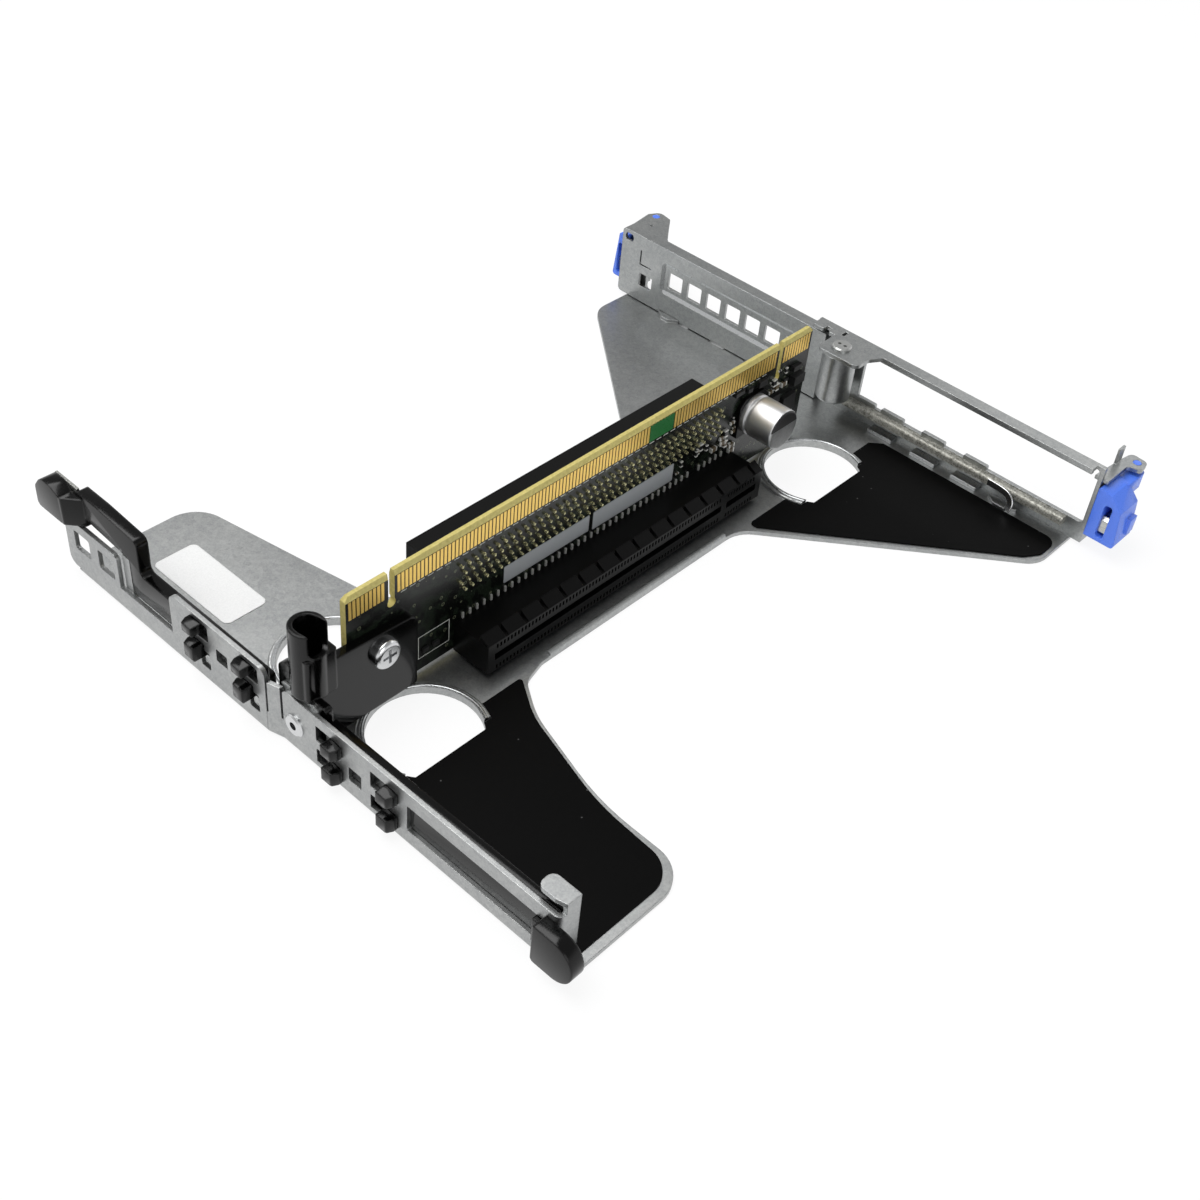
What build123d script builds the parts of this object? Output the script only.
"""Riser card assembly for a low server: a sheet metal cage with an upright riser board.

Pieces are drawn in millimetres from the board's front face (X), the first slot contact (Y)
and the upper face of the base plate (Z). Each is then moved so that the origin lies on the
board's middle plane, at the middle of the cage's length, on the underside of the plate.
"""
import os
from math import acos, sin, sqrt, tan

from build123d import *

# Driving dimensions, in millimetres
SHEET = 1.0            # base plate, walls and rear frame
FILLER_SHEET = 0.8     # slot filler
FILM = 0.3             # insulator sheets
LABEL = 0.1            # paper labels
BOARD = 1.57           # riser board thickness
MIDDLE_Y = 50.0        # middle of the cage's length, from the first contact

WALL_FRONT_L = -43.0   # outer face of the near wall, left half
WALL_FRONT_R = -42.0   # outer face of the near wall, right half
WALL_TOP = 13.2
HUMP_TOP = 15.6
BEND_OUT = 1.2         # outer radius of the fold between plate and near wall

HOLE_X = 13.4          # large plate holes, from the board's middle plane
HOLE_NEAR_Y = -21.5
HOLE_FAR_Y = 103.6
HOLE_R = 11.8
HOLE_FLAT = 20.8       # flat side of the holes on the right, from the middle plane
RIM = 1.7              # width of the raised rim
RIM_H = 0.8

BOARD_Y0 = -30.0
BOARD_Y1 = 111.7
BOARD_Z0 = 1.5
BOARD_Z1 = 31.7
FINGER_PITCH = 1.0
FINGER_W = 0.7
PAD = 0.06             # thickness of the gold contacts

SLOT_LEN = 87.6
SLOT_DEPTH = 10.1
SLOT_W = 7.6
SLOT_FRONT_Y0 = -2.3   # near end of the front slot
SLOT_BACK_Y0 = -4.7    # near end of the back slot
SLOT_FRONT_Z = 4.9     # middle of the front slot
SLOT_BACK_Z = 20.0     # middle of the back slot
SLOT_GAP = 1.8         # width of the card mouth
SLOT_FRONT_KEY = 13.3  # from the far end of the front slot to its key
SLOT_BACK_KEY = 10.9
SLOT_ENDS = 1.5        # no contact stands nearer to a slot's end
CONTACT_PITCH = 2.0

FRAME_Y = 130.3        # front face of the rear frame
FILLER_Y = 128.5       # front face of the slot filler
POST_X = 70.5          # inner face of the side posts, from the middle plane
LATCH_PIVOT = {1: (72.9, 142.6), -1: (-73.1, 140.7)}
LATCH_OUT = {1: 78.7, -1: -77.3}  # outer faces of the latches
PIVOT_R = 1.0
PIVOT_CLEAR = 0.05     # radial clearance of the pivot stub in the tongue's hole
TONGUE_Z = 17.4        # underside of the tongues
SIDE_CLEAR = 0.3       # between a latch and its side post
LEAF_X = {1: 73.6, -1: -74.0}  # inner side of each latch slot
LEAF_W = 2.0

SOCKET_X = -0.8
SOCKET_Y = -38.3
SOCKET_R = 2.6         # guide pin socket
SOCKET_OUT = 3.7
SOCKET_TOP = 30.4
SCOOP_Z = 24.6         # floor of the scoop in the socket
SCOOP_HALF = 2.7

HOOK_PITCH = 15.3
MID = -BOARD / 2       # board's middle plane

os.makedirs("parts", exist_ok=True)
PLACE = Location((-MID, -MIDDLE_Y, SHEET))


def save(shape, node):
    solid = shape.solids()
    whole = Compound(children=list(solid)) if len(solid) > 1 else solid[0]
    export_step(whole.moved(PLACE), f"parts/{node}.step")


def block(x0, x1, y0, y1, z0, z1):
    return Pos((x0 + x1) / 2, (y0 + y1) / 2, (z0 + z1) / 2) * Box(x1 - x0, y1 - y0, z1 - z0)


def outline(corners):
    """A face in the XY plane from (a, b, corner radius)."""
    ends = []
    count = len(corners)
    for i in range(count):
        a, b, r = corners[i]
        pa, pb, _ = corners[i - 1]
        na, nb, _ = corners[(i + 1) % count]
        here = Vector(a, b)
        if r == 0:
            ends.append((here, None, here))
            continue
        back = (Vector(pa, pb) - here).normalized()
        ahead = (Vector(na, nb) - here).normalized()
        half = acos(max(-1.0, min(1.0, back.dot(ahead)))) / 2
        step = r / tan(half)
        centre = here + (back + ahead).normalized() * (r / sin(half))
        middle = centre + (here - centre).normalized() * r
        ends.append((here + back * step, middle, here + ahead * step))
    edges = []
    for i in range(count):
        start, middle, end = ends[i]
        if middle is not None:
            edges.append(Edge.make_three_point_arc(start, middle, end))
        following = ends[(i + 1) % count][0]
        if (following - end).length > 1e-4:
            edges.append(Edge.make_line(end, following))
    return Face(Wire(edges))


def prism_z(corners, z0, z1):
    return extrude(Location((0, 0, z0)) * outline(corners), z1 - z0, dir=(0, 0, 1))


def prism_y(corners, y0, y1):
    """Corners are (x, z, radius)."""
    return extrude(Plane.XZ.offset(-y0).location * outline(corners), y1 - y0, dir=(0, 1, 0))


def prism_x(corners, x0, x1):
    """Corners are (y, z, radius)."""
    return extrude(Plane.YZ.offset(x0).location * outline(corners), x1 - x0, dir=(1, 0, 0))


def rod_x(x0, x1, y, z, r):
    rod = Cylinder(r, x1 - x0, align=(Align.CENTER, Align.CENTER, Align.MIN))
    return Pos(x0, y, z) * (Rot(0, 90, 0) * rod)


def rod_y(y0, y1, x, z, r):
    rod = Cylinder(r, y1 - y0, align=(Align.CENTER, Align.CENTER, Align.MIN))
    return Pos(x, y0, z) * (Rot(-90, 0, 0) * rod)


def rod_z(z0, z1, x, y, r):
    return Pos(x, y, z0) * Cylinder(r, z1 - z0, align=(Align.CENTER, Align.CENTER, Align.MIN))


def rect(a0, a1, b0, b1, r=0.0):
    return [(a0, b0, r), (a1, b0, r), (a1, b1, r), (a0, b1, r)]


# Base plate outline: a narrow spine with two wings at each end
RIGHT_EDGE = 71.0
LEFT_EDGE = -72.9
SPINE_R = 14.1
SPINE_L = 2 * MID - SPINE_R
FAR_R = 68.0
FAR_L = -70.8
PLATE_END = FRAME_Y + SHEET

plate_corners = [
    (RIGHT_EDGE, WALL_FRONT_R + BEND_OUT, 0),
    (RIGHT_EDGE, -9.7, 8),
    (48, -9.3, 60),
    (24, -2.2, 25),
    (15.9, 3.2, 5),
    (SPINE_R, 9.5, 5),
    (SPINE_R, 73.3, 8),
    (FAR_R, 117.0, 7),
    (FAR_R, PLATE_END, 0),
    (FAR_L, PLATE_END, 0),
    (FAR_L, 116.5, 7),
    (SPINE_L, 70.4, 8),
    (SPINE_L, 9.5, 10),
    (-21.1, -2.2, 12),
    (-43.6, -6.7, 40),
    (LEFT_EDGE, -12.2, 8),
    (LEFT_EDGE, WALL_FRONT_L + BEND_OUT + 2, 1.0),
    (-71.5, WALL_FRONT_L + BEND_OUT + 2, 0),
    (-71.5, WALL_FRONT_L + BEND_OUT, 0),
    (-8.5, WALL_FRONT_L + BEND_OUT, 0),
    (-5.0, WALL_FRONT_R + BEND_OUT, 0),
]


def hole_tool(side, centre_y, grow, z0, z1):
    """Round hole; on the right it has a flat on its outer side."""
    x = MID + side * HOLE_X
    tool = rod_z(z0, z1, x, centre_y, HOLE_R + grow)
    if side > 0:
        tool -= block(MID + HOLE_FLAT, x + 30, centre_y - 30, centre_y + 30, z0 - 1, z1 + 1)
    return tool


def fold(front, x0, x1):
    """Quarter bend between the plate and the near wall."""
    inner = BEND_OUT - SHEET
    y = front + BEND_OUT
    z = BEND_OUT - SHEET
    ring = rod_x(x0, x1, y, z, BEND_OUT) - rod_x(x0 - 1, x1 + 1, y, z, inner)
    ring = ring & block(x0, x1, front, y, -SHEET, z)
    return ring


def fold_profile(front, top):
    inner = BEND_OUT - SHEET
    y = front + BEND_OUT
    z = BEND_OUT - SHEET
    k = sqrt(0.5)
    edges = [
        Edge.make_line((0, y, -SHEET), (0, y, 0)),
        Edge.make_three_point_arc((0, y, 0), (0, y - inner * k, z - inner * k), (0, front + SHEET, z)),
        Edge.make_line((0, front + SHEET, z), (0, front + SHEET, top)),
        Edge.make_line((0, front + SHEET, top), (0, front, top)),
        Edge.make_line((0, front, top), (0, front, z)),
        Edge.make_three_point_arc((0, front, z), (0, y - BEND_OUT * k, z - BEND_OUT * k), (0, y, -SHEET)),
    ]
    return Face(Wire(edges))


HOOK_L = [-30.9, -30.9 + HOOK_PITCH]
HOOK_R = [8.9, 8.9 + HOOK_PITCH]
HOOK_W = 2.8
WINDOW_X0 = 30.1
WINDOW_X1 = 65.2
WINDOW_Z0 = 3.1
WINDOW_Z1 = 9.8
RIVET_X = -1.2
RIVET_Z = 6.3
FLANGE_X = 68.0        # outer face of the folded right end of the near wall


def cage_plate():
    wall_z = BEND_OUT - SHEET
    plate = prism_z(plate_corners, -SHEET, 0)
    for side, y in ((1, HOLE_NEAR_Y), (-1, HOLE_NEAR_Y), (1, HOLE_FAR_Y), (-1, HOLE_FAR_Y)):
        rim = hole_tool(side, y, RIM, 0, RIM_H)
        if side > 0:
            rim -= block(MID + HOLE_FLAT - 1.6, 60, y - 30, y + 30, -1, 5)
        rim = fillet(rim.edges().group_by(Axis.Z)[-1].filter_by(GeomType.CIRCLE), 0.5)
        near_wall = block(-90, 90, -60, WALL_FRONT_R + SHEET + 1.2, -1, 5)
        plate += rim - near_wall
        plate -= hole_tool(side, y, 0, -SHEET - 1, 5)
    # hemmed lips beside the slot
    for x in (SPINE_R - 1.6, SPINE_L):
        lip = block(x, x + 1.6, 12, 69, 0, 0.8)
        lip = fillet(lip.edges().filter_by(Axis.Y).group_by(Axis.Z)[-1], 0.6)
        plate += lip
    # left half of the near wall
    left = prism_y([
        (-74.5, 0.5, 2.2), (-74.5, WALL_TOP, 2.0), (-56.0, WALL_TOP, 1.6), (-56.0, 4.9, 0),
        (-38.2, 4.9, 0), (-38.2, HUMP_TOP, 2.0), (-8.6, HUMP_TOP, 2.0), (-8.6, wall_z, 0),
        (-8.5, wall_z, 0), (-71.0, wall_z, 0), (-71.0, 0.5, 0),
    ], WALL_FRONT_L, WALL_FRONT_L + SHEET)
    left -= prism_y(rect(-71.5, -66.0, 5.9, 10.9, 0.6), -50, -40)
    left -= prism_y(rect(-63.0, -57.5, 5.9, 10.9, 0.6), -50, -40)
    for x in HOOK_L:
        left -= prism_y(rect(x - 0.3, x + 4.9, 10.5, 14.6, 0.6), -50, -40)
        left -= prism_y(rect(x - 0.3, x + 3.3, 5.0, 9.1, 0.4), -50, -40)
        left -= prism_y(rect(x + 1.9, x + 4.9, 3.0, 7.5, 0.4), -50, -40)
    left -= prism_y(rect(-23.7, -20.2, 7.5, 10.8, 0.4), -50, -40)
    strip = block(-55.2, -52.85, WALL_FRONT_L + SHEET, WALL_FRONT_L + 2 * SHEET, 3.0, 13.9)
    foot = block(-55.2, -52.85, WALL_FRONT_L, WALL_FRONT_L + SHEET + 0.5, 3.0, 4.9)
    plate += fold(WALL_FRONT_L, -71.5, -8.5)
    plate += left
    plate += strip
    plate += foot
    # step between the halves
    step_left = Location((-8.5, 0, 0)) * fold_profile(WALL_FRONT_L, 5.0)
    step_right = Location((-5.0, 0, 0)) * fold_profile(WALL_FRONT_R, 5.0)
    step = loft([step_left, step_right])
    plate += step
    link = prism_z([(-8.1, -42.9, 0), (-5.3, -42.1, 0), (-5.3, -41.1, 0), (-8.1, -41.9, 0)], 4.5, 13.0)
    plate += link
    # right half with its folded end
    right = prism_y([
        (-5.0, wall_z, 0), (66.0, wall_z, 0), (66.0, WALL_TOP, 0), (-4.7, WALL_TOP, 1.2),
        (-4.7, 5.0, 0), (-5.0, 5.0, 0),
    ], WALL_FRONT_R, WALL_FRONT_R + SHEET)
    for x in HOOK_R:
        right -= prism_y(rect(x - 4.0, x + 2.9, 6.8, 10.9, 0.4), -50, -38)
        right -= prism_y(rect(x - 4.0, x + 2.9, 1.0, 4.7, 0.4), -50, -38)
    right -= prism_y(rect(14.1, 17.7, 3.5, 7.1, 0.4), -50, -38)
    right -= prism_y(rect(WINDOW_X0, WINDOW_X1, WINDOW_Z0, WINDOW_Z1, 0.5), -50, -38)
    right -= rod_y(-50, -38, RIVET_X, RIVET_Z, 1.6)
    plate += fold(WALL_FRONT_R, -5.0, 66.0)
    plate += right
    corner = prism_z([
        (65.9, WALL_FRONT_R, 0), (FLANGE_X, WALL_FRONT_R, 1.6), (FLANGE_X, -37.0, 0),
        (FLANGE_X - SHEET, -37.0, 0),
        (FLANGE_X - SHEET, WALL_FRONT_R + SHEET, 0.6), (65.9, WALL_FRONT_R + SHEET, 0),
    ], 2.0, WALL_TOP)
    flange = block(FLANGE_X - SHEET, FLANGE_X, -40.4, -37.0, WALL_TOP - 0.5, 16.0)
    tab = prism_z([
        (61.3, -41.0, 1.6), (61.3, -37.0, 1.6), (FLANGE_X, -37.0, 0), (FLANGE_X, -40.4, 0),
        (65.5, -41.0, 1.0),
    ], 16.0 - SHEET, 16.0)
    plate += corner
    plate += flange
    plate += tab
    # lanced hooks that catch the rear frame's foot
    for x0, x1 in ((-59.0, -51.8), (46.5, 54.5)):
        hook = prism_z([
            (x0, 128.4, 0), (x1, 128.4, 0), (x1 - 2.4, 126.5, 0.7), (x0 + 2.4, 126.5, 0.7),
        ], 0, 0.9)
        plate += hook
    plate -= block(-51.5, -48.5, 128.0, 129.0, -3, 3)
    plate -= block(-41.0, -36.0, 128.0, 129.0, -3, 3)
    plate -= block(-29.0, -24.0, 128.0, 129.0, -3, 3)
    return plate


def insulator_near():
    sheet = prism_z([
        (14.6, 2.8, 0.6), (15.6, 2.4, 0.4), (24.0, -3.0, 25), (48.0, -10.0, 60), (69.0, -11.3, 7),
        (69.0, -39.6, 2.5), (6.0, -39.6, 0), (6.0, -33.0, 0), (14.6, -33.0, 0),
    ], 0, FILM)
    rim_seat = rod_z(-1, 2, MID + HOLE_X, HOLE_NEAR_Y, HOLE_R + RIM + 0.1)
    sheet -= rim_seat & block(-20, MID + HOLE_FLAT - 1.4, -60, 10, -1, 2)
    sheet -= hole_tool(1, HOLE_NEAR_Y, 0, -1, 2)
    sheet -= block(12, MID + HOLE_FLAT, HOLE_NEAR_Y - 6, HOLE_NEAR_Y + 6, -1, 2)
    return sheet


def insulator_far():
    sheet = prism_z([
        (14.6, 77.0, 1.0), (16.6, 77.0, 0.6), (64.6, 115.6, 3), (67.0, 119.5, 3), (67.0, 126.3, 3),
        (17.4, 126.3, 0),
        (14.6, 123.8, 0),
    ], 0, FILM)
    rim_seat = rod_z(-1, 2, MID + HOLE_X, HOLE_FAR_Y, HOLE_R + RIM + 0.1)
    sheet -= rim_seat & block(-20, MID + HOLE_FLAT - 1.4, 60, 140, -1, 2)
    sheet -= hole_tool(1, HOLE_FAR_Y, 0, -1, 2)
    sheet -= block(10, MID + HOLE_FLAT, HOLE_FAR_Y - 6, HOLE_FAR_Y + 6, -1, 2)
    return sheet


def plate_label():
    return prism_z(rect(-62.6, -37.2, -31.2, -20.3, 1.5), 0, LABEL)


HOLDER_FRONT = WALL_FRONT_L + SHEET
HOLDER_BACK = -39.2


def hook(x, z0, z1, front, root, side):
    """Snap hook: neck through the wall and a lip over its outer face."""
    tip = front - 2.4
    neck = block(x, x + HOOK_W, tip, root, z0, z1)
    if side < 0:
        lip = prism_z([
            (x, front, 0), (x - 0.7, front, 0), (x - 0.7, front - 1.0, 0), (x, tip, 0), (x + 1, tip, 0),
            (x + 1, front, 0),
        ], z0, z1)
    else:
        a = x + HOOK_W
        lip = prism_z([
            (a, front, 0), (a + 0.7, front, 0), (a + 0.7, front - 1.0, 0), (a, tip, 0), (a - 1, tip, 0),
            (a - 1, front, 0),
        ], z0, z1)
    whole = neck + lip
    low = whole.edges().group_by(Axis.Y)[0].group_by(Axis.Z)[0]
    return chamfer(low, 0.3)


def left_card_holder():
    body = prism_y([
        (-68.9, 15.6, 0), (-52.8, 14.2, 1.0), (-52.8, 5.2, 2.0), (-10.0, 5.2, 0.8), (-10.0, 11.9, 0.8),
        (-49.4, 11.9, 1.6), (-49.4, 20.5, 1.5), (-62.0, 21.4, 2), (-70.2, 21.4, 1), (-70.2, 17.0, 0),
        (-69.0, 15.6, 0),
    ], HOLDER_FRONT, HOLDER_BACK)
    arm = prism_z([
        (-72.2, -45.0, 0.5), (-71.0, -45.0, 0.6), (-67.5, HOLDER_FRONT, 0), (-67.5, HOLDER_BACK, 0),
        (-72.2, HOLDER_BACK - 2.0, 0),
    ], 13.5, 20.3)
    knob = prism_y([
        (-80.4, 13.4, 1.2), (-71.6, 13.4, 0.6), (-71.6, 20.3, 0.6), (-74.5, 21.6, 2.5),
        (-78.0, 21.6, 2.6), (-80.4, 18.4, 2.0),
    ], -45.0, -41.4)
    holder = body + arm + knob
    for x in HOOK_L:
        holder += hook(x, 12.0, 14.3, WALL_FRONT_L, HOLDER_FRONT + 0.5, -1)
        holder += hook(x, 5.4, 8.9, WALL_FRONT_L, HOLDER_FRONT + 0.5, -1)
    # thin web behind the wall that carries the upper hooks
    holder += block(-37.4, -9.4, HOLDER_FRONT, HOLDER_FRONT + 0.9, 11.0, 15.0)
    return holder - holder_strip()


def holder_strip():
    return block(-78.0, -70.2, -41.4, -40.8, 15.0, 21.4)


GUIDE_FRONT = WALL_FRONT_R + SHEET


def right_card_guide():
    bar = prism_y(rect(6.5, 66.5, 1.1, 11.6, 0.6), GUIDE_FRONT, GUIDE_FRONT + 2.6)
    bar -= block(62.0, 67.0, GUIDE_FRONT + 0.0, GUIDE_FRONT + 1.2, 10.0, 12.0)
    arm = block(62.5, 65.0, -43.0, GUIDE_FRONT + 1.0, 3.4, 9.5)
    knob = prism_y([
        (64.6, 2.0, 1.0), (74.2, 2.0, 4.6), (74.2, 11.7, 4.8), (64.6, 11.7, 0.6),
    ], -45.2, WALL_FRONT_R)
    guide = bar + arm + knob
    for x in HOOK_R:
        guide += hook(x, 7.9, 10.7, WALL_FRONT_R, GUIDE_FRONT + 0.5, 1)
        guide += hook(x, 1.2, 4.5, WALL_FRONT_R, GUIDE_FRONT + 0.5, 1)
    return guide


BACKING = 0.6


def rivet_backing():
    sheet = prism_y([
        (-6.0, 1.4, 0), (4.6, 1.4, 0), (4.6, 14.0, 1.6), (-6.0, 14.0, 0.6),
    ], GUIDE_FRONT, GUIDE_FRONT + BACKING)
    return sheet - rod_y(-50, -30, RIVET_X, RIVET_Z, 1.6)


def holder_rivet():
    y = WALL_FRONT_R
    back = GUIDE_FRONT + BACKING + 1.6
    head = rod_y(y - 0.6, y, RIVET_X, RIVET_Z, 2.5)
    head = chamfer(head.edges().group_by(Axis.Y)[0], 0.35)
    shank = rod_y(y - 0.1, back, RIVET_X, RIVET_Z, 1.6)
    rim = rod_y(back, back + 0.5, RIVET_X, RIVET_Z, 2.3)
    return head + shank + rim - rod_y(y - 2, back + 2, RIVET_X, RIVET_Z, 0.9)


SCREW_Y = -22.5
SCREW_Z = 15.0
PLATE_T = 2.0


def board_holder():
    y0 = GUIDE_FRONT + BACKING
    flange = prism_y([
        (-7.4, 1.2, 0.8), (6.3, 1.2, 0.8), (6.3, 14.6, 0.8), (-2.5, 14.6, 0), (-2.5, 18.6, 0.0),
        (-7.4, 18.6, 2.4),
    ], y0, y0 + 1.6)
    panel = prism_x([
        (-39.2, 1.2, 0), (-14.0, 1.2, 0.8), (-14.0, 19.6, 2.0), (-36.0, 21.0, 0), (-39.2, 21.0, 0),
    ], 0.0, PLATE_T)
    panel -= rod_x(-1, 5, SCREW_Y, SCREW_Z, 1.6)
    tower = rod_z(14.0, SOCKET_TOP, SOCKET_X, SOCKET_Y, SOCKET_OUT)
    tower = fillet(tower.edges().group_by(Axis.Z)[-1], 0.35)
    gusset = prism_z([
        (-1.0, -41.4, 0.8), (2.6, -41.4, 0.8), (2.6, -34.2, 0.6), (-1.0, -34.2, 0),
    ], 14.0, 24.2)
    web = block(-1.4, 1.6, -40.0, -36.4, 1.2, 15.0)
    tube = tower + gusset
    scoop = prism_x(rect(-SCOOP_HALF, SCOOP_HALF, SCOOP_Z, 40.0, 1.6), 0.0, 9.0)
    tube -= Pos(SOCKET_X, SOCKET_Y, 0) * (Rot(0, 0, 10) * scoop)
    holder = flange + web + panel + tube
    holder -= rod_z(15.5, 40.0, SOCKET_X, SOCKET_Y, SOCKET_R)
    holder -= rod_y(y0 - 1.0, y0 + 5.0, RIVET_X, RIVET_Z, 1.6)
    holder -= rod_y(y0 + 1.6, y0 + 5.0, RIVET_X, RIVET_Z, 2.7)
    holder -= block(-BOARD - 0.4, 0.0, BOARD_Y0, BOARD_Y1, 0, 40)
    return holder


def board_screw():
    x = PLATE_T
    head = rod_x(x, x + 1.7, SCREW_Y, SCREW_Z, 3.3)
    head = fillet(head.edges().group_by(Axis.X)[-1], 1.0)
    shank = rod_x(-BOARD - 1.4, x + 0.1, SCREW_Y, SCREW_Z, 1.4)
    head -= block(x + 0.9, x + 3, SCREW_Y - 1.7, SCREW_Y + 1.7, SCREW_Z - 0.35, SCREW_Z + 0.35)
    head -= block(x + 0.9, x + 3, SCREW_Y - 0.35, SCREW_Y + 0.35, SCREW_Z - 1.7, SCREW_Z + 1.7)
    return head + shank


def screw_nut():
    nut = Pos(-BOARD, SCREW_Y, SCREW_Z) * (Rot(0, -90, 0) * extrude(RegularPolygon(3.0, 6), 1.8))
    return nut - rod_x(-10, 3, SCREW_Y, SCREW_Z, 1.4)


NOTCH_NEAR = (-19.6, -18.0, 24.2)
NOTCH_FAR = (99.3, 100.7, 22.5)


def riser_board():
    corners = [
        (BOARD_Y0, BOARD_Z0, 0.8), (BOARD_Y1, BOARD_Z0, 0.8), (BOARD_Y1, BOARD_Z1 - 0.9, 0),
        (BOARD_Y1 - 0.9, BOARD_Z1, 0),
        (BOARD_Y0 + 0.9, BOARD_Z1, 0), (BOARD_Y0, BOARD_Z1 - 0.9, 0),
    ]
    board = prism_x(corners, -BOARD, 0)
    for y0, y1, z in (NOTCH_NEAR, NOTCH_FAR):
        board -= block(-5, 5, y0, y1, z, 40)
        board -= rod_x(-5, 5, (y0 + y1) / 2, z, (y1 - y0) / 2 + 0.25)
    for x, s in ((0, 1), (-BOARD, -1)):
        low, high = BOARD_Z1 - 1.3, BOARD_Z1 + 0.5
        bevel = Plane.XZ.offset(-(BOARD_Y0 - 1)).location * outline([
            (x + s * 0.001, low, 0), (x + s * 0.5, low, 0), (x + s * 0.5, high, 0),
            (x - s * 0.42, high, 0), (x - s * 0.35, BOARD_Z1 + 0.001, 0),
        ])
        board -= extrude(bevel, 150, dir=(0, 1, 0))
    board -= rod_x(-5, 5, SCREW_Y, SCREW_Z, 1.6)
    return board


def edge_contacts():
    """Gold contacts on both faces at 1 mm pitch."""
    runs = ((-29.0, 9), (-17.0, 116), (101.6, 10))
    pads = []
    for y_first, count in runs:
        for i in range(count):
            y = y_first + i * FINGER_PITCH
            if y > 98.6 and y < 101:
                continue
            for x in (0.0, -BOARD - PAD):
                pads.append(block(x, x + PAD, y - FINGER_W / 2, y + FINGER_W / 2, 26.0, BOARD_Z1 - 1.35))
    return Compound(children=pads)


def slot_housing(side, middle, start, key_back):
    """Card slot: long body with a card mouth, a key and end blocks."""
    near = 0.0 if side > 0 else -BOARD
    far = near + side * SLOT_DEPTH
    x0, x1 = min(near, far), max(near, far)
    z0, z1 = middle - SLOT_W / 2, middle + SLOT_W / 2
    body = block(x0, x1, start, start + SLOT_LEN, z0, z1)
    deep = far - side * 8.6
    a, b = min(deep, far + side), max(deep, far + side)
    y_end = start + SLOT_LEN
    key = y_end - key_back
    body -= block(a, b, start + 1.9, key - 0.9, middle - SLOT_GAP / 2, middle + SLOT_GAP / 2)
    body -= block(a, b, key + 0.9, y_end - 1.9, middle - SLOT_GAP / 2, middle + SLOT_GAP / 2)
    # stepped rows of pockets along both long sides
    for i in range(14):
        y = start + 3.2 + i * 6.1
        wide = 4.3
        if y + wide > y_end - 2:
            continue
        shallow = far - side * 4.4
        c, d = min(shallow, far - side * 0.9), max(shallow, far - side * 0.9)
        body -= block(c, d, y, y + wide, z1 - 0.7, z1 + 1)
        body -= block(c, d, y, y + wide, z0 - 1, z0 + 0.7)
    return body


def front_slot_contacts():
    """Rows of surface tails at the foot of the front housing."""
    tails = []
    y_end = SLOT_FRONT_Y0 + SLOT_LEN
    key = y_end - SLOT_FRONT_KEY
    for i in range(42):
        y = i * CONTACT_PITCH
        if abs(y - key) < CONTACT_PITCH / 2 or y > y_end - SLOT_ENDS:
            continue
        for s in (1, -1):
            z = SLOT_FRONT_Z + s * SLOT_W / 2
            lo, hi = (z, z + 1.4) if s > 0 else (z - 0.8, z)
            tails.append(block(0, 0.35, y - 0.22, y + 0.22, lo, hi))
    return Compound(children=tails)


PIN_ROWS = (23.2, 21.2, 18.9, 16.9)
PIN_OUT = 0.9


def back_slot_contacts():
    """Soldered pin ends of the back slot, standing on the front face in staggered rows."""
    pins = []
    for row, z in enumerate(PIN_ROWS):
        for i in range(41):
            y = -1.0 + i * CONTACT_PITCH + (row % 2) * CONTACT_PITCH / 2
            if y > SLOT_BACK_Y0 + SLOT_LEN - SLOT_ENDS:
                continue
            pins.append(block(0, PIN_OUT, y - 0.25, y + 0.25, z - 0.25, z + 0.25))
    return Compound(children=pins)


CAP_Y = 91.0
CAP_Z = 17.3


def capacitor_base():
    base = prism_x([
        (CAP_Y - 5.15, CAP_Z - 5.15, 0.3), (CAP_Y + 5.15, CAP_Z - 5.15, 0.3),
        (CAP_Y + 5.15, CAP_Z + 3.4, 0.2),
        (CAP_Y + 3.4, CAP_Z + 5.15, 0.2), (CAP_Y - 3.4, CAP_Z + 5.15, 0.2),
        (CAP_Y - 5.15, CAP_Z + 3.4, 0.2),
    ], 0, 1.0)
    return base


def capacitor_can():
    can = rod_x(1.0, 10.2, CAP_Y, CAP_Z, 5.0)
    can = fillet(can.edges().group_by(Axis.X)[-1], 0.5)
    groove = rod_x(2.2, 3.0, CAP_Y, CAP_Z, 6.0) - rod_x(2.0, 3.2, CAP_Y, CAP_Z, 4.65)
    return can - groove


def board_labels():
    first = prism_x(rect(11.5, 37.0, 11.0, 15.4, 0.3), 0, LABEL)
    second = prism_x(rect(38.2, 64.5, 10.6, 15.4, 0.3), 0, LABEL)
    return Compound(children=[first.solid(), second.solid()])


CHIPS = [
    (84.0, 87.0, 24.2, 25.2, 0.6), (88.6, 90.2, 23.4, 24.4, 0.6), (92.4, 95.4, 23.2, 24.8, 0.8),
    (98.0, 99.6, 12.0, 13.0, 0.6), (98.2, 101.4, 15.0, 18.0, 1.0), (102.6, 104.2, 20.0, 21.0, 0.6),
    (103.0, 107.8, 11.0, 15.6, 1.2), (105.6, 109.6, 18.2, 20.6, 1.6), (105.4, 108.4, 22.0, 23.4, 1.0),
    (99.0, 100.6, 8.0, 9.0, 0.6), (-11.0, -9.4, 6.0, 7.0, 0.5), (-8.2, -6.6, 6.0, 7.0, 0.5),
]


def board_chips():
    return Compound(children=[block(0, h, y0, y1, z0, z1) for y0, y1, z0, z1, h in CHIPS])


# Rear frame, behind the filler on the left and open on the right
BAR_TOP = 21.4
TAB_SCREW_X = 1.5
TAB_SCREW_Y = 123.9
LOW_WALL = 5.2


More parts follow.
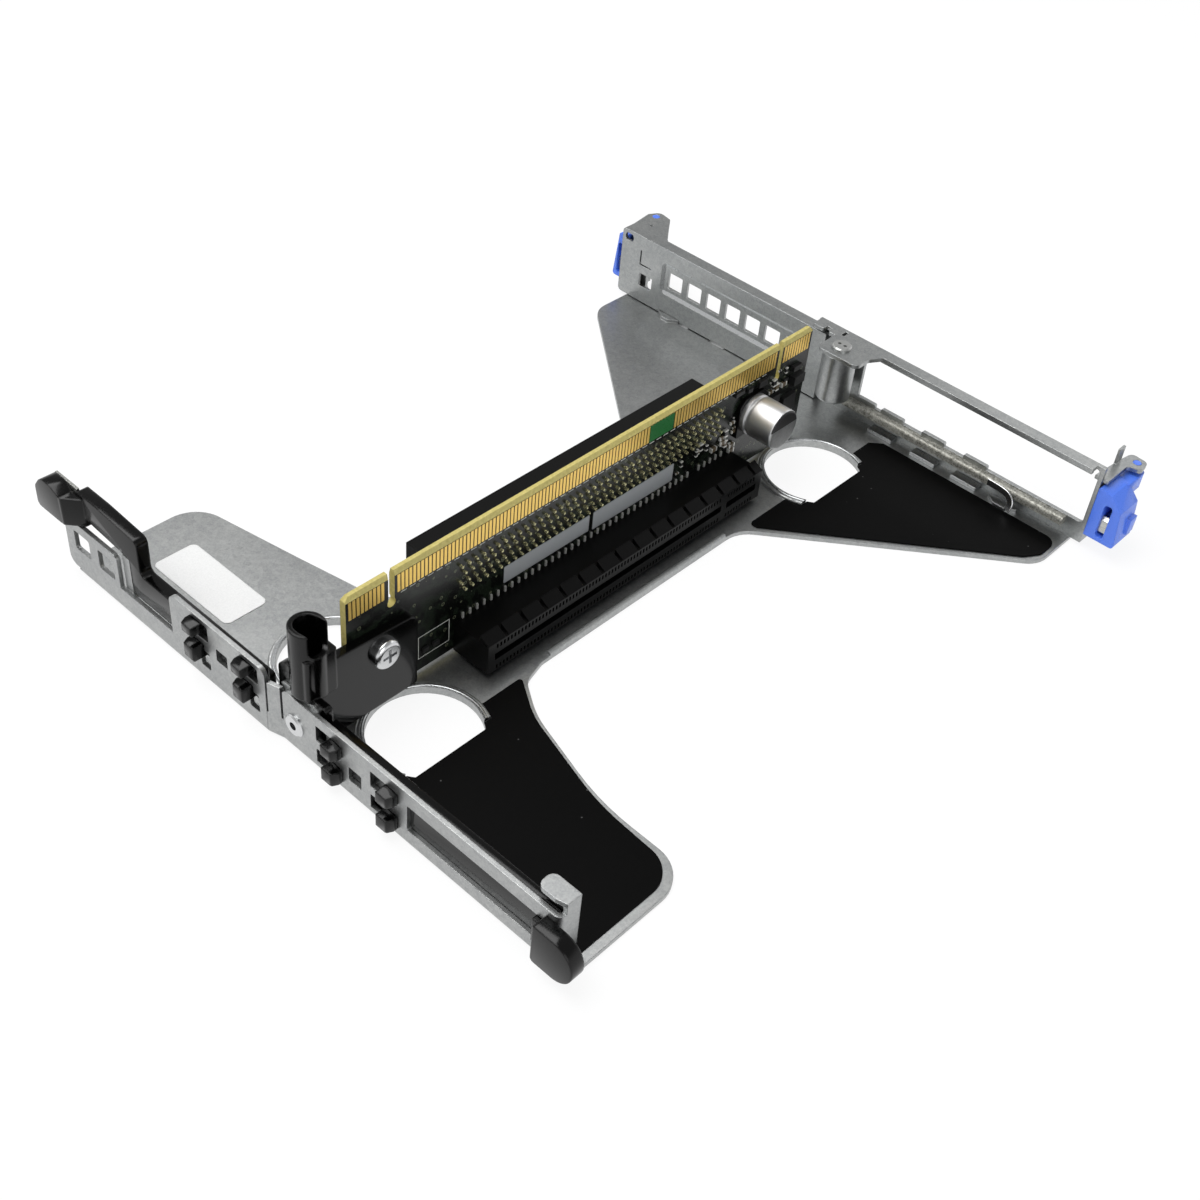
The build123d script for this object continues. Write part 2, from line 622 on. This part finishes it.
def rear_frame():
    y0, y1 = FRAME_Y, FRAME_Y + SHEET
    left_x = MID - POST_X - SHEET
    right_x = MID + POST_X + SHEET
    wall = block(left_x, right_x, y0, y1, 0, TONGUE_Z + SHEET)
    wall += block(-10.0, right_x, y0, y1, 0, BAR_TOP)
    wall -= prism_y(rect(-66.0, -9.0, 3.2, 16.0, 1.0), y0 - 1, y1 + 1)
    wall -= prism_y(rect(5.1, MID + POST_X, LOW_WALL, BAR_TOP - SHEET, 1.0), y0 - 1, y1 + 1)
    # top bar with a lip turned down at its front
    wall += block(-1.0, right_x - 2.0, 128.0, y1, BAR_TOP - SHEET, BAR_TOP)
    wall += block(8.0, right_x - 2.0, 128.0, 128.0 + SHEET, BAR_TOP - 1.4, BAR_TOP)
    # screw tab and the notched lugs beside it
    wall += prism_z([
        (-3.0, 119.7, 1.6), (9.0, 119.7, 1.8), (9.0, 124.7, 1.2), (11.2, 128.4, 0), (-3.0, 128.4, 0),
    ], BAR_TOP - SHEET, BAR_TOP)
    wall += prism_z([
        (-9.8, 127.4, 0.4), (-6.6, 127.4, 0.4), (-6.6, 129.0, 0), (-5.0, 129.0, 0), (-5.0, 127.2, 0.4),
        (-2.0, 127.2, 0), (-2.0, y1, 0), (-9.8, y1, 0),
    ], BAR_TOP - SHEET, BAR_TOP)
    wall -= rod_z(BAR_TOP - 3, BAR_TOP + 2, TAB_SCREW_X, TAB_SCREW_Y, 1.5)
    # three raised tongues on the low wall
    for x, wide in ((5.0, 5.5), (12.4, 6.6), (24.6, 6.6), (36.8, 6.6)):
        wall += prism_y([(x, 5.0, 0), (x + wide, 5.0, 0), (x + wide, 6.2, 0.4), (x, 6.2, 0.4)], y0, y1)
    # side posts folded back, and the tongues that carry the latches
    wall += block(right_x - SHEET, right_x, y0, 139.0, 0, TONGUE_Z + SHEET)
    wall += block(left_x, left_x + SHEET, y0, 139.0, 0, TONGUE_Z + SHEET)
    px, py = LATCH_PIVOT[1]
    mx, my = LATCH_PIVOT[-1]
    wall += prism_z([
        (68.6, 131.0, 0), (72.0, 131.0, 0), (72.0, 139.6, 1.0), (px + 2.3, 140.4, 1.2),
        (px + 1.8, 144.4, 1.4),
        (px - 2.6, 144.9, 1.4), (69.6, 141.0, 0),
    ], TONGUE_Z, TONGUE_Z + SHEET)
    wall += prism_z([
        (-74.4, 133.0, 0.6), (-62.6, 131.0, 0), (-62.6, 133.4, 0), (-66.2, 138.0, 0),
        (mx + 3.6, my + 1.7, 1.4),
        (mx - 0.6, my + 2.5, 1.8), (mx - 2.3, my - 0.6, 1.0),
    ], TONGUE_Z, TONGUE_Z + SHEET)
    wall += block(left_x, -62.6, 130.5, 133.6, TONGUE_Z, TONGUE_Z + SHEET)
    for x, y in LATCH_PIVOT.values():
        wall -= rod_z(TONGUE_Z - 2, TONGUE_Z + 4, x, y, PIVOT_R + PIVOT_CLEAR)
    wall -= rod_z(TONGUE_Z - 2, TONGUE_Z + 4, -70.6, 136.0, 0.4)
    # thin tang standing on the right tongue
    wall += block(69.2, 69.8, 138.2, 140.6, TONGUE_Z, 22.4)
    return wall


VENT_PITCH = 6.56


def slot_filler():
    y0, y1 = FILLER_Y, FILLER_Y + FILLER_SHEET
    x0, x1 = -74.0, -6.2
    sheet = prism_y([(x0, 0.3, 1.2), (x1, 0.3, 0), (x1, 19.3, 0), (x0, 19.3, 1.0)], y0, y1)
    sheet += block(x0 + 0.6, -10.2, y0, y0 + 3.4, 19.3 - FILLER_SHEET, 19.3)
    recess = prism_y(rect(-59.5, -10.4, 6.2, 15.3, 1.8), y0 - 1, y0 + 0.5)
    back = prism_y(rect(-60.1, -9.8, 5.6, 15.9, 2.2), y0 + 0.5, y1 + 0.5)
    sheet -= recess
    sheet += back
    for i in range(7):
        x = -57.4 + VENT_PITCH * i
        sheet -= prism_y(rect(x, x + 4.8, 8.1, 12.85, 0.4), y0 - 1, y1 + 2)
    sheet -= prism_y(rect(-67.0, -62.5, 4.8, 8.5, 0.3), y0 - 1, y1 + 2)
    sheet -= prism_y(rect(-73.0, -70.2, 16.2, 18.3, 0.8), y0 - 1, y1 + 0.0)
    sheet -= block(-67.3, -66.9, y0 - 1, y1 + 1, 11.3, 15.2)
    sheet -= block(-67.3, -63.2, y0 - 1, y1 + 1, 10.9, 11.3)
    return sheet


def rear_gasket():
    """Soft shielding strip along the low wall."""
    strip = prism_x([
        (FRAME_Y - 1.9, 2.6, 0.8), (FRAME_Y, 2.6, 0), (FRAME_Y, 5.0, 0), (FRAME_Y - 1.9, 5.0, 0.9),
    ], 1.0, 65.6)
    return strip


def rear_clips():
    """Small tabs along the foot of the frame."""
    tabs = [block(x, x + 7.3, FRAME_Y - 2.6, FRAME_Y, 0.0, 0.9) for x in (11.2, 24.0, 36.0)]
    return Compound(children=tabs)


def screw_boss():
    boss = rod_z(7.5, BAR_TOP - SHEET, TAB_SCREW_X, TAB_SCREW_Y, 4.3)
    boss = fillet(boss.edges().group_by(Axis.Z)[0], 0.6)
    return boss - rod_z(14.0, 30, TAB_SCREW_X, TAB_SCREW_Y, 1.5)


def tab_screw():
    top = BAR_TOP
    head = rod_z(top, top + 0.8, TAB_SCREW_X, TAB_SCREW_Y, 2.4)
    head = chamfer(head.edges().group_by(Axis.Z)[-1], 0.3)
    shank = rod_z(14.5, top + 0.1, TAB_SCREW_X, TAB_SCREW_Y, 1.5)
    screw = head + shank
    for d in (-0.8, 0.8):
        screw -= rod_z(top + 0.2, top + 2, TAB_SCREW_X + d, TAB_SCREW_Y, 0.42)
    return screw


def latch(side):
    """Plastic latch that turns on a stub in the tongue's hole. Drawn for the right and mirrored."""
    x, y = LATCH_PIVOT[side]
    px = x * side
    outer = LATCH_OUT[side] * side
    inner = MID * side + POST_X + SHEET + SIDE_CLEAR
    body = prism_y([
        (inner, 3.3, 0), (outer, 3.3, 0.8), (outer - 1.0, 12.9, 0.4), (inner + 3.4, 16.2, 0.4),
        (inner, 16.9, 0.4),
    ], 129.5, 137.5)
    slot_x = LEAF_X[side] * side
    body -= prism_y(rect(slot_x, slot_x + LEAF_W, 4.4, 13.4, 0.8), 129.0, 135.0)
    arm = prism_z([
        (inner, 136.5, 0), (px + 2.2, 136.5, 0), (px + 2.2, y + 1.2, 1.2), (px - 1.2, y + 1.8, 0.6),
        (inner, y, 0),
    ], 12.4, 16.4)
    thumb = block(outer - 0.9, outer + 0.3, 134.0, 137.0, 5.4, 9.6)
    stub = rod_z(15.5, TONGUE_Z + SHEET, px, y, PIVOT_R)
    whole = body + arm + thumb + stub
    if side < 0:
        whole = mirror(whole, about=Plane.YZ)
    return whole


def latch_leaf(side):
    """Metal leaf seated in the latch's front slot."""
    slot_x = LEAF_X[side] * side
    leaf = block(slot_x, slot_x + LEAF_W, 130.4, 135.0, 5.4, 9.4)
    leaf = chamfer(leaf.edges().filter_by(Axis.X).group_by(Axis.Y)[0].group_by(Axis.Z)[-1], 0.8)
    if side < 0:
        leaf = mirror(leaf, about=Plane.YZ)
    return leaf


pieces = {
    "cage_plate": cage_plate(),
    "insulator_near": insulator_near(),
    "insulator_far": insulator_far(),
    "plate_label": plate_label(),
    "left_card_holder": left_card_holder(),
    "holder_strip": holder_strip(),
    "right_card_guide": right_card_guide(),
    "rivet_backing": rivet_backing(),
    "holder_rivet": holder_rivet(),
    "board_holder": board_holder(),
    "board_screw": board_screw(),
    "screw_nut": screw_nut(),
    "riser_board": riser_board(),
    "edge_contacts": edge_contacts(),
    "front_slot": slot_housing(1, SLOT_FRONT_Z, SLOT_FRONT_Y0, SLOT_FRONT_KEY),
    "front_slot_contacts": front_slot_contacts(),
    "back_slot": slot_housing(-1, SLOT_BACK_Z, SLOT_BACK_Y0, SLOT_BACK_KEY),
    "back_slot_contacts": back_slot_contacts(),
    "capacitor_base": capacitor_base(),
    "capacitor_can": capacitor_can(),
    "board_labels": board_labels(),
    "board_chips": board_chips(),
    "rear_frame": rear_frame(),
    "slot_filler": slot_filler(),
    "rear_gasket": rear_gasket(),
    "rear_clips": rear_clips(),
    "screw_boss": screw_boss(),
    "tab_screw": tab_screw(),
    "latch_left": latch(-1),
    "latch_right": latch(1),
    "latch_leaf_left": latch_leaf(-1),
    "latch_leaf_right": latch_leaf(1),
}

for node, shape in pieces.items():
    save(shape, node)
    print(node, len(shape.solids()), [round(v, 1) for v in shape.bounding_box().size])
